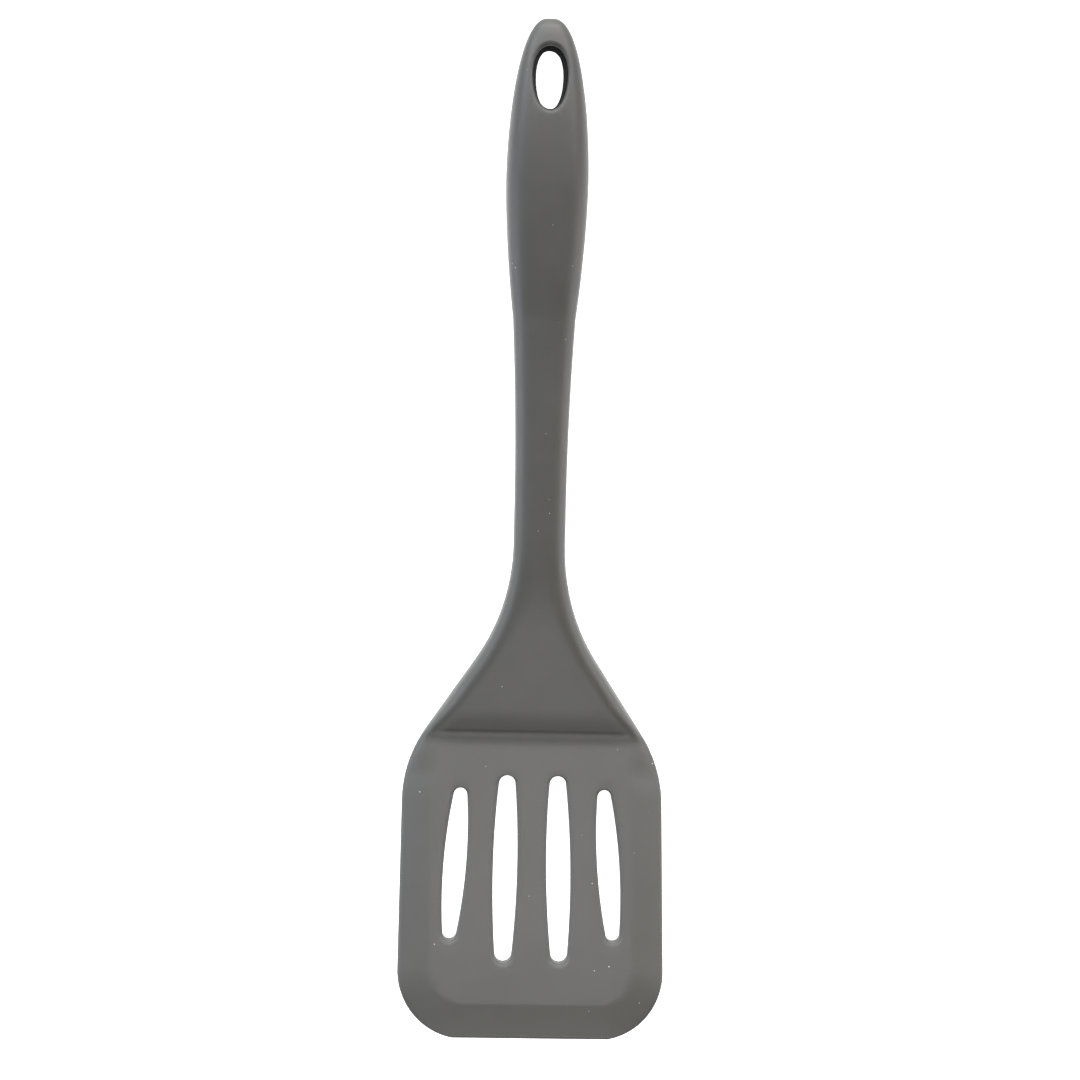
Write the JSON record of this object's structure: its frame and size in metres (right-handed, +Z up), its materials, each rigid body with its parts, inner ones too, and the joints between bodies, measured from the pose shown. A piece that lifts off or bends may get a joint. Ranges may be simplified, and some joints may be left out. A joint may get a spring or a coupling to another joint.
{
  "type": "slotted turner",
  "caption": "Silicone-covered slotted turner: wide bevelled blade with long drain slots, cranked flare, swelling grip and an oval hang hole.",
  "frame": {"origin": "middle of the footprint at the level of the table that the turner lies on, face up", "axes": "+X to the right across the blade, +Y along the turner towards the handle's end, +Z up out of the blade's face"},
  "size_m": [0.085, 0.3284, 0.0285],
  "materials": {
    "silicone": "moulded grey silicone, satin and a little dusty",
    "nylon": "moulded black glass-filled nylon, seen only in the hang hole"
  },
  "bodies": {
    "root": {"nylon_core": "nylon", "silicone_cover": "silicone"}
  },
  "joints": []
}
